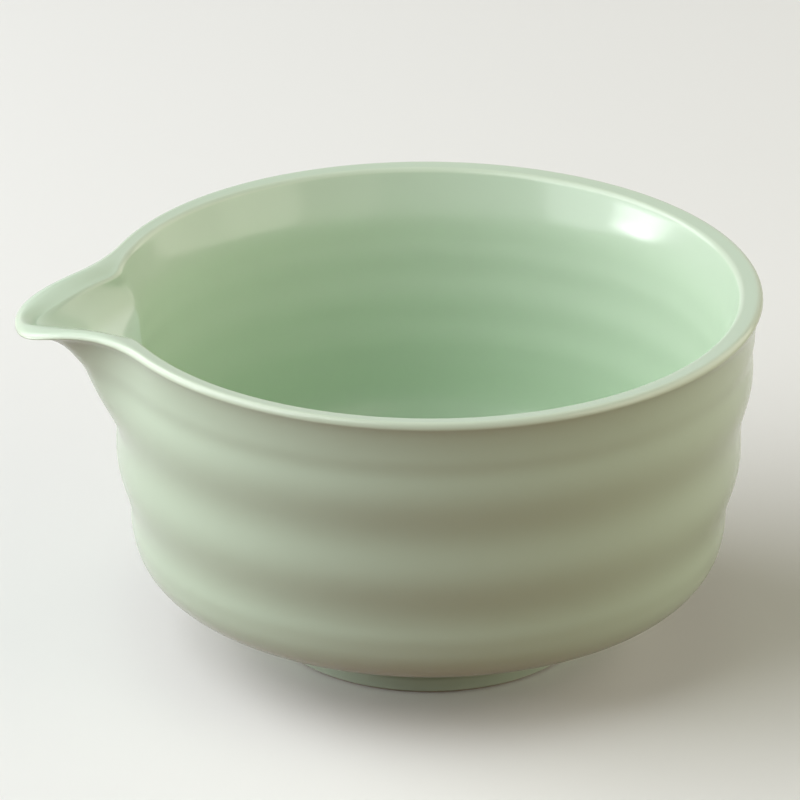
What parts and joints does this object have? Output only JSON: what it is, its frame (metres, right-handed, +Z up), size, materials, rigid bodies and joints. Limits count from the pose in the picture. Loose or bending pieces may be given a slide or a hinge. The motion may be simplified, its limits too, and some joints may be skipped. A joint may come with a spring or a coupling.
{
  "type": "spouted tea bowl",
  "caption": "Round celadon tea bowl with gentle throwing rings, a beaked pouring lip that dips a little at its tip and a low foot ring.",
  "frame": {"origin": "centre of the bounding box on the plane that the foot ring stands on", "axes": "+Z up; the pouring lip points along -X; the bowl is mirror-symmetric about the XZ plane"},
  "size_m": [0.1404, 0.125, 0.0702],
  "materials": {
    "stoneware": "bare fired stoneware, fine grained and matt",
    "celadon_glaze": "smooth pale green celadon, satin gloss, paler where it thins over edges"
  },
  "bodies": {
    "root": {"thrown_body": "stoneware", "pouring_lip": "stoneware", "foot_ring": "stoneware", "outer_glaze": "celadon_glaze", "inner_glaze": "celadon_glaze", "base_glaze": "celadon_glaze"}
  },
  "joints": []
}
